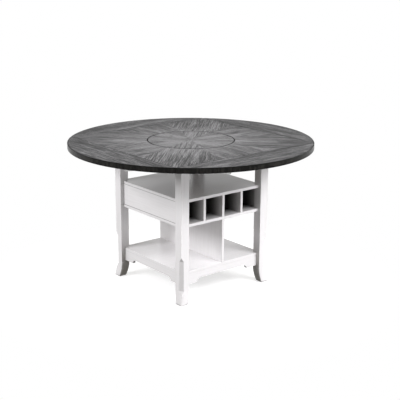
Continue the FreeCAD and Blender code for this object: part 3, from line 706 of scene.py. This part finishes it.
@dataclass(frozen=True)
class DarkStain(Finish):
    """Matt dark stain on the board under the turning disc."""

    stain: Colour = (0.032, 0.030, 0.028)
    raised: Colour = (0.070, 0.066, 0.060)
    grain: Pattern = Pattern((6.0, 110.0, 110.0), 3.0, 0.6, 0.4, (0.42, 0.72))
    roughness: float = 0.75
    mirror: float = 0.3
    relief: float = 0.0003

    def build(self, graph: Graph) -> None:
        """Build the finish's nodes in the material's graph."""
        grain = self.grain.over(graph, graph.place())
        graph.finish(graph.surface({
            "Base Color": graph.mix(grain.rise(*self.grain.out), self.stain, self.raised),
            "Roughness": self.roughness + (grain - 0.5) * 0.2,
            "Normal": graph.bump(grain, self.relief, 0.5), "Specular IOR Level": self.mirror}))


@dataclass(frozen=True)
class BareWood(Finish):
    """Unfinished beech or plywood of the hidden pieces."""

    light: Colour = (0.62, 0.44, 0.27)
    dark: Colour = (0.44, 0.28, 0.155)
    rings: Pattern = Pattern((9.0, 120.0, 120.0), 3.0, 0.6, 0.4, (0.3, 0.72))
    flecks: Pattern = Pattern((160.0, 700.0, 700.0), 1.0, out=(0.58, 0.72), share=0.35)
    roughness: float = 0.7
    relief: float = 0.0002

    def build(self, graph: Graph) -> None:
        """Build the finish's nodes.

        Args:
            graph: The material's graph.
        """
        place = graph.place()
        rings = self.rings.over(graph, place)
        flecks = self.flecks.over(graph, place).rise(*self.flecks.out)
        colour = graph.mix(rings.rise(*self.rings.out), self.light, self.dark)
        graph.finish(graph.surface({
            "Base Color": graph.mix(flecks * self.flecks.share, colour, self.dark),
            "Roughness": self.roughness + (rings - 0.5) * 0.2,
            "Normal": graph.bump(rings, self.relief, 0.4)}))


@dataclass(frozen=True)
class PlatedSteel(Finish):
    """Zinc-plated steel, brushed, with handling marks."""

    bright: Colour = (0.60, 0.60, 0.59)
    dull: Colour = (0.36, 0.36, 0.36)
    brushing: Pattern = Pattern((900.0, 60.0, 900.0))
    handling: Pattern = Pattern((55.0, 55.0, 55.0), 3.0, out=(0.36, 0.7))
    roughness: float = 0.36
    relief: float = 0.00004

    def build(self, graph: Graph) -> None:
        """Build the finish's nodes.

        Args:
            graph: The material's graph.
        """
        place = graph.place()
        brushed, marks = [pattern.over(graph, place) for pattern in (self.brushing, self.handling)]
        graph.finish(graph.surface({
            "Base Color": graph.mix(marks.rise(*self.handling.out), self.bright, self.dull),
            "Metallic": 1.0,
            "Roughness": self.roughness + (brushed - 0.5) * 0.25 + (marks - 0.5) * 0.2,
            "Normal": graph.bump(brushed, self.relief, 0.5)}))


@dataclass(frozen=True)
class GlidePlastic(Finish):
    """Black nylon of the foot glides, scuffed underneath."""

    body: Colour = (0.030, 0.030, 0.032)
    scuff: Colour = (0.11, 0.11, 0.11)
    scuffing: Pattern = Pattern((420.0, 90.0, 420.0), 3.0, out=(0.52, 0.74))
    roughness: float = 0.45
    relief: float = 0.00005

    def build(self, graph: Graph) -> None:
        """Build the finish's nodes in the material's graph."""
        marks = self.scuffing.over(graph, graph.place()).rise(*self.scuffing.out)
        graph.finish(graph.surface({
            "Base Color": graph.mix(marks, self.body, self.scuff),
            "Roughness": self.roughness + marks * 0.3,
            "Normal": graph.bump(marks, self.relief, 0.4)}))


@dataclass(frozen=True)
class StudioFloor(Finish):
    """Pale studio floor that fades into the white surroundings and is clear from below.

    Attributes:
        colour: The floor's colour.
        unseen: Its colour where it only throws light back at the table.
        speckle: Speckles of both.
        speckled: Brightness of the speckles against each colour.
        lift: Light that the camera sees besides, which makes the open floor white.
        fade: Radii between which the floor fades out, in metres.
        radius: Radius of the floor, in metres.
        corners: Number of corners of its round outline.
    """

    colour: Colour = (0.70, 0.70, 0.70)
    unseen: Colour = (0.10, 0.10, 0.10)
    speckle: Pattern = Pattern((60.0, 60.0, 1.0), 3.0)
    speckled: Range = (0.97, 0.94)
    lift: float = 0.62
    fade: Range = (0.8, 1.35)
    radius: float = 7.0
    corners: int = 96

    def build(self, graph: Graph) -> None:
        """Build the finish's nodes.

        Args:
            graph: The material's graph.
        """
        x, y, z = graph.place()
        speckle = self.speckle.over(graph, (x, y, z))
        darker, dim_darker = [tuple(share * part for part in colour)
                              for share, colour in zip(self.speckled, (self.colour, self.unseen))]
        ground = graph.surface({
            "Base Color": graph.mix(speckle * 0.5, self.colour, darker), "Roughness": 0.75})
        dim = graph.surface({
            "Base Color": graph.mix(speckle, self.unseen, dim_darker), "Roughness": 0.9})
        glow = graph.add("ShaderNodeEmission",
                         inputs={"Color": (*WHITE, 1.0), "Strength": self.lift})
        lifted = graph.add("ShaderNodeAddShader", inputs={0: ground, 1: glow.outputs[0]})
        near = graph.add("ShaderNodeMixShader",
                         inputs={0: graph.seen(), 1: dim, 2: lifted.outputs[0]})
        clear = graph.add("ShaderNodeBsdfTransparent")
        below = Signal(graph, graph.add("ShaderNodeNewGeometry").outputs["Backfacing"])
        faded = (x * x + y * y).math("SQRT").rise(*self.fade)
        whole = graph.add("ShaderNodeMixShader", inputs={
            0: faded.math("MAXIMUM", below) * graph.seen(),
            1: near.outputs[0], 2: clear.outputs[0]})
        graph.finish(whole.outputs[0])


# ---- dressing

def dress(node: str, material: bpy.types.Material) -> None:
    """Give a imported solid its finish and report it.

    Args:
        node: The solid's name.
        material: Its finish.
    """
    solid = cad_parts[node]
    if not solid.material_slots:
        solid.data.materials.append(material)
    for slot in solid.material_slots:
        slot.material = material
    log.info("%s", node)


def soften(node: str, width: float) -> None:
    """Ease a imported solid's sharp edges where they show.

    Args:
        node: The solid's name.
        width: Width of the eased edge, in metres.
    """
    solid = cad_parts[node]
    weld = solid.modifiers.new("weld", "WELD")
    weld.merge_threshold = 0.00002
    bevel = solid.modifiers.new("eased edges", "BEVEL")
    bevel.width = width
    bevel.segments = 2
    bevel.limit_method = "ANGLE"
    bevel.angle_limit = math.radians(40)
    bevel.harden_normals = True


def new_piece(name: str, shape: bmesh.types.BMesh, material: bpy.types.Material,
              body: str) -> bpy.types.Object:
    """Turn a finished shape into a piece that rides on a body, and report it.

    Args:
        name: The piece's name.
        shape: Its shape, in the table's frame. It is freed.
        material: Its finish.
        body: The body that it rides on.

    Returns:
        The new piece.
    """
    mesh = bpy.data.meshes.new(name)
    shape.to_mesh(mesh)
    shape.free()
    mesh.materials.append(material)
    mesh.shade_smooth()
    mesh.set_sharp_from_angle(angle=math.radians(35))
    piece = bpy.data.objects.new(name, mesh)
    bpy.context.scene.collection.objects.link(piece)
    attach(piece, body)
    log.info("%s", name)
    return piece


def quarter(turns: int) -> Matrix:
    """Quarter turns about the table's middle."""
    return Matrix.Rotation(turns * math.pi / 2, 4, "Z")


# ---- sub-assemblies

@dataclass
class RoundTop:
    """Square centre, four leaves and the turning disc let into the middle.

    Attributes:
        veneer: The finish of all six pieces.
    """

    veneer: BrushedVeneer = field(default_factory=BrushedVeneer)

    def build(self) -> None:
        """Dress the pieces of the top, each with its own lay of veneer."""
        lays = {"square_top": Lay.SUNBURST, "lazy_susan": Lay.STAR}
        for side in SIDES:
            lays[f"leaf_{side}"] = Lay.ALONG_X if side in ("front", "back") else Lay.ALONG_Y
        finishes = {lay: self.veneer.material(f"veneer {lay.name.lower().replace('_', ' ')}", lay)
                    for lay in Lay}
        for node, lay in lays.items():
            dress(node, finishes[lay])


@dataclass
class PanScrews:
    """Pan-head wood screws with a cross recess.

    Attributes:
        shank: Radius of the shank.
        point: Length of the point.
        head: Radius of the head.
        crown: Height of the head.
        dome: Outline of the head, in shares of its radius and height.
        recess: Half length of the cross recess.
        slit: Half width of the recess.
        depth: Depth of the recess.
        facets: Sides of the round shapes.
    """

    shank: float = 0.002
    point: float = 0.003
    head: float = 0.004
    crown: float = 0.0015
    dome: tuple[Range, ...] = ((1.0, 0.35), (0.86, 0.75), (0.6, 1.0))
    recess: float = 0.0019
    slit: float = 0.00042
    depth: float = 0.0011
    facets: int = 16

    def add(self, shape: bmesh.types.BMesh, seat: Vector, length: float, upward: bool) -> None:
        """Add one screw to a shape.

        Args:
            shape: The shape that holds the set.
            seat: Where the head's underside rests.
            length: Length of the shank.
            upward: Whether the screw is driven upward.
        """
        profile = [(self.shank, length - self.point), (self.shank, 0.0), (self.head, 0.0)]
        profile += [(out * self.head, -high * self.crown) for out, high in self.dome]
        flip = 1.0 if upward else -1.0
        rows = []
        for radius, height in profile:
            rows.append([])
            for index in range(self.facets):
                angle = flip * 2.0 * math.pi * index / self.facets
                offset = (radius * math.cos(angle), radius * math.sin(angle), flip * height)
                rows[-1].append(shape.verts.new(seat + Vector(offset)))
        tip = shape.verts.new(seat + Vector((0.0, 0.0, flip * length)))
        for index in range(self.facets):
            following = (index + 1) % self.facets
            shape.faces.new((rows[0][following], rows[0][index], tip))
            for outer, inner in zip(rows, rows[1:]):
                shape.faces.new((outer[index], outer[following], inner[following], inner[index]))
        self.cut_recess(shape, rows[-1], seat, flip)

    def cut_recess(self, shape: bmesh.types.BMesh, brim: list[bmesh.types.BMVert], seat: Vector,
                   flip: float) -> None:
        """Close the crown of a head round its cross recess.

        Args:
            shape: The shape that holds the set.
            brim: The uppermost ring of the head.
            seat: Where the head's underside rests.
            flip: 1 for a screw driven upward, -1 for one driven downward.
        """
        arm, slit = self.recess, self.slit
        corners, turned = [], [(arm, -slit), (arm, slit), (slit, slit)]
        for _ in range(4):
            corners += turned
            turned = [(-up, across) for across, up in turned]
        mouth, floor = [], []
        for across, up in corners:
            for ring, height in ((mouth, -self.crown), (floor, self.depth - self.crown)):
                ring.append(shape.verts.new(seat + Vector((across, flip * up, flip * height))))
        edges = [shape.edges.new(pair) for pair in zip(mouth, mouth[1:] + mouth[:1])]
        edges += [shape.edges.get(pair) for pair in zip(brim, brim[1:] + brim[:1])]
        bmesh.ops.triangle_fill(shape, edges=edges, use_beauty=True)
        for side in zip(mouth, mouth[1:] + mouth[:1], floor[1:] + floor[:1], floor):
            shape.faces.new(side)
        shape.faces.new(floor)


@dataclass
class LeafHardware:
    """Hinges, folding stays and screws under the seams, and the disc's bearing.

    Attributes:
        seat: Height of the screw heads under the plates.
        hinge_line: Distance of the hinge screws from the seam.
        hinges: Places of the hinges along a seam.
        hinge_pitch: Spacing of the screws in a hinge.
        stays: Places of the stays along a seam.
        stay_feet: Distances of the stays' screws from the seam.
        seam_length: Length of all these screws.
        rail_seat: Seat of a rail's screw.
        rail_length: Length of the rails' screws.
        base_seat: Seat of a screw in the bearing's lower plate.
        disc_seat: Seat of a screw in its upper plate.
        bearing_length: Length of the bearing's screws.
        screws: The kind of screw.
        steel: Finish of all of it.
    """

    seat: float = 0.880
    hinge_line: float = 0.022
    hinges: tuple[float, ...] = (-0.4, 0.0, 0.4)
    hinge_pitch: float = 0.024
    stays: tuple[float, ...] = (-0.25, 0.25)
    stay_feet: tuple[float, ...] = (0.105, 0.135)
    seam_length: float = 0.016
    rail_seat: Triple = (0.198, -0.262, 0.867)
    rail_length: float = 0.030
    base_seat: Triple = (0.070, 0.0, 0.884)
    disc_seat: Triple = (0.140, 0.0, 0.890)
    bearing_length: float = 0.012
    screws: PanScrews = field(default_factory=PanScrews)
    steel: PlatedSteel = field(default_factory=PlatedSteel)

    def build(self) -> None:
        """Dress the hardware and build its screws."""
        steel = self.steel.material("plated steel")
        for node in ("bearing_base_plate", "bearing_turning_plate", "ball_ring",
                     "hinge_table_plates", "hinge_pins", "stay_table_brackets", "frame_bolts"):
            dress(node, steel)
        for turns, side in enumerate(SIDES):
            for node in ("hinge_leaf_plates", "stay_leaf_brackets",
                         "stay_table_arms", "stay_leaf_arms"):
                dress(f"{node}_{side}", steel)
            shape = bmesh.new()
            self.seam_row(shape, 1.0, turns)
            heads = new_piece(f"leaf_screw_set_{side}", shape, steel,
                              f"leaf_{side}")
            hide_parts(f"leaf_screws_{side}")
        self.build_table_screws(steel)
        self.build_disc_screws(steel)

    def seam_row(self, shape: bmesh.types.BMesh, side: float, turns: int) -> None:
        """Add the screws beside one seam.

        Args:
            shape: The shape that holds the set.
            side: 1 for the leaf's side of the seam, -1 for the table's.
            turns: Quarter turns from the right-hand seam.
        """
        places = [(self.hinge_line, hinge + step * self.hinge_pitch)
                  for hinge in self.hinges for step in (-1, 0, 1)]
        places += [(reach, stay) for stay in self.stays for reach in self.stay_feet]
        for reach, along in places:
            seat = quarter(turns) @ Vector((SEAM + side * reach, along, self.seat))
            self.screws.add(shape, seat, self.seam_length, True)

    def build_table_screws(self, steel: bpy.types.Material) -> None:
        """Build the screws that stay with the table.

        Args:
            steel: Their finish.
        """
        shape = bmesh.new()
        across, out, height = self.rail_seat
        for turns in range(4):
            self.seam_row(shape, -1.0, turns)
            for place in (-across, across):
                seat = quarter(turns) @ Vector((place, out, height))
                self.screws.add(shape, seat, self.rail_length, True)
            seat = quarter(turns) @ Vector(self.base_seat)
            self.screws.add(shape, seat, self.bearing_length, False)
        heads = new_piece("table_screw_set", shape, steel, "table")
        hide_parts("top_screws")

    def build_disc_screws(self, steel: bpy.types.Material) -> None:
        """Build the screws that hold the bearing's upper plate to the disc.

        Args:
            steel: Their finish.
        """
        shape = bmesh.new()
        for turns in range(4):
            seat = quarter(turns) @ Vector(self.disc_seat)
            self.screws.add(shape, seat, self.bearing_length, True)
        heads = new_piece("disc_screw_set", shape, steel, "lazy_susan")
        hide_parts("bearing_turning_screws")


@dataclass
class StorageBase:
    """Legs, rails, bottle box, divided shelf and aprons.

    Attributes:
        paint: Finish of the base.
        wood: Finish of its hidden pieces.
        stain: Finish of the board under the turning disc.
        plastic: Finish of the glides.
        ease: Width of the eased edges.
    """

    paint: CreamPaint = field(default_factory=CreamPaint)
    wood: BareWood = field(default_factory=BareWood)
    stain: DarkStain = field(default_factory=DarkStain)
    plastic: GlidePlastic = field(default_factory=GlidePlastic)
    ease: float = 0.0012

    def build(self) -> None:
        """Dress every piece of the base and ease its edges."""
        along = {run: self.paint.material(f"cream paint {run.name.lower()}", run) for run in Run}
        pieces = {f"leg_{corner}": Run.Z for corner in CORNERS}
        for side in SIDES:
            run = Run.X if side in ("front", "back") else Run.Y
            pieces |= {f"top_rail_{side}": run, f"shelf_apron_{side}": run}
        pieces |= dict.fromkeys(
            ("box_top_board", "box_bottom_board", "shelf_board", "box_back_panel"), Run.X)
        pieces |= dict.fromkeys(("box_side_left", "box_side_right", "bottle_dividers"), Run.Y)
        pieces["shelf_divider"] = Run.Z
        for node, run in pieces.items():
            dress(node, along[run])
            soften(node, self.ease)
        bare = self.wood.material("bare wood")
        for node in ("corner_blocks", "dowels"):
            dress(node, bare)
        dress("susan_carrier_board", self.stain.material("dark stain"))
        dress("foot_glides", self.plastic.material("glide nylon"))


@dataclass
class Lamp:
    """One soft rectangular lamp.

    Attributes:
        name: Its name.
        place: Where it stands.
        aim: The point that it faces.
        width: Its width.
        height: Its height.
        power: Its power, in watts.
        colour: Its colour.
    """

    name: str
    place: Triple
    aim: Triple
    width: float
    height: float
    power: float
    colour: Colour = (0.985, 0.978, 0.997)

    def build(self) -> None:
        """Hang the lamp. Glossy surfaces show the white surroundings in its place."""
        light = bpy.data.lights.new(self.name, "AREA")
        light.shape = "RECTANGLE"
        light.size = self.width
        light.size_y = self.height
        light.energy = self.power
        light.color = self.colour
        lamp = bpy.data.objects.new(self.name, light)
        lamp.visible_glossy = False
        lamp.location = self.place
        beam = Vector(self.aim) - Vector(self.place)
        lamp.rotation_euler = beam.to_track_quat("-Z", "Y").to_euler()
        bpy.context.scene.collection.objects.link(lamp)


@dataclass
class Studio:
    """Floor, lamps, surroundings and camera.

    Attributes:
        floor: Finish of the floor.
        ambient: Level of the surroundings' soft light.
        warmth: Its colour.
        lamps: The lamps.
        azimuth: Bearing of the camera, in degrees.
        distance: Its level distance from the table's middle.
        height: Its height.
        pan: Its turn to the left, in degrees.
        pitch: Its tilt below the level, in degrees.
        roll: Its roll, in degrees.
        lens: Its focal length, in millimetres.
        sensor: Width of its sensor, in millimetres.
    """

    floor: StudioFloor = field(default_factory=StudioFloor)
    ambient: float = 0.41
    warmth: Colour = (1.0, 0.965, 0.90)
    lamps: tuple[Lamp, ...] = (
        Lamp("right lamp", (1.1, -4.6, 3.5), (0.0, 0.0, 0.45), 2.6, 1.8, 155.0),
        Lamp("high right lamp", (2.3, -4.15, 4.0), (0.0, 0.0, 0.45), 3.0, 2.0, 108.0),
        Lamp("low right lamp", (1.1, -3.5, 0.6), (0.0, 0.0, 0.45), 2.4, 0.9, 38.0),
        Lamp("left lamp", (-3.0, 0.8, 1.95), (0.0, 0.0, 0.6), 1.4, 1.2, 82.0),
        Lamp("front lamp", (-2.0, -3.0, 3.8), (0.0, 0.0, 0.6), 1.6, 1.4, 46.0),
    )
    azimuth: float = -38.45
    distance: float = 5.36199
    height: float = 2.01638
    pan: float = -0.62
    pitch: float = 15.55
    roll: float = 0.29
    lens: float = 79.06
    sensor: float = 36.0

    def build(self) -> None:
        """Set up the whole studio."""
        self.build_floor()
        self.build_surroundings()
        for lamp in self.lamps:
            lamp.build()
            log.info("%s", lamp.name)
        self.build_camera()
        log.info("camera")

    def build_floor(self) -> None:
        """Lay the floor."""
        shape = bmesh.new()
        bmesh.ops.create_circle(shape, cap_ends=True, segments=self.floor.corners,
                                radius=self.floor.radius)
        mesh = bpy.data.meshes.new("studio_floor")
        shape.to_mesh(mesh)
        shape.free()
        mesh.materials.append(self.floor.material("studio floor"))
        floor = bpy.data.objects.new("studio_floor", mesh)
        bpy.context.scene.collection.objects.link(floor)
        log.info("floor")

    def build_surroundings(self) -> None:
        """Make the surroundings white to look at and softer as a light."""
        world = bpy.data.worlds.new("surroundings")
        world.use_nodes = True
        bpy.context.scene.world = world
        graph = Graph(world.node_tree)
        soft, white = [
            graph.add("ShaderNodeBackground", inputs={"Color": (*colour, 1.0), "Strength": level})
            for colour, level in ((self.warmth, self.ambient), (WHITE, 1.0))]
        mixed = graph.add("ShaderNodeMixShader", inputs={
            0: graph.seen(), 1: soft.outputs[0], 2: white.outputs[0]})
        graph.add("ShaderNodeOutputWorld", inputs={"Surface": mixed.outputs[0]})

    def build_camera(self) -> None:
        """Stand the camera and make it the scene's own."""
        bearing = math.radians(self.azimuth)
        place = Vector((math.sin(bearing) * self.distance, -math.cos(bearing) * self.distance,
                        self.height))
        turned = bearing + math.radians(self.pan)
        tilt = math.radians(self.pitch)
        forward = Vector((-math.sin(turned) * math.cos(tilt), math.cos(turned) * math.cos(tilt),
                          -math.sin(tilt)))
        right = forward.cross(Vector((0.0, 0.0, 1.0))).normalized()
        up = right.cross(forward)
        roll = math.radians(self.roll)
        across = right * math.cos(roll) + up * math.sin(roll)
        upward = up * math.cos(roll) - right * math.sin(roll)
        axes = Matrix((across, upward, -forward)).transposed().to_4x4()
        data = bpy.data.cameras.new("camera")
        data.sensor_width = self.sensor
        data.lens = self.lens
        camera = bpy.data.objects.new("camera", data)
        camera.matrix_world = Matrix.Translation(place) @ axes
        bpy.context.scene.collection.objects.link(camera)
        bpy.context.scene.camera = camera


def main() -> None:
    """Build the table's sub-assemblies and the studio."""
    logging.basicConfig(level=logging.INFO, format="%(name)s: %(message)s")
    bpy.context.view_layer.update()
    bpy.context.scene.view_settings.view_transform = "Standard"
    for assembly in (RoundTop(), LeafHardware(), StorageBase(), Studio()):
        assembly.build()
        log.info("%s done", type(assembly).__name__)
    bpy.context.view_layer.update()


if __name__ == "__main__":
    main()
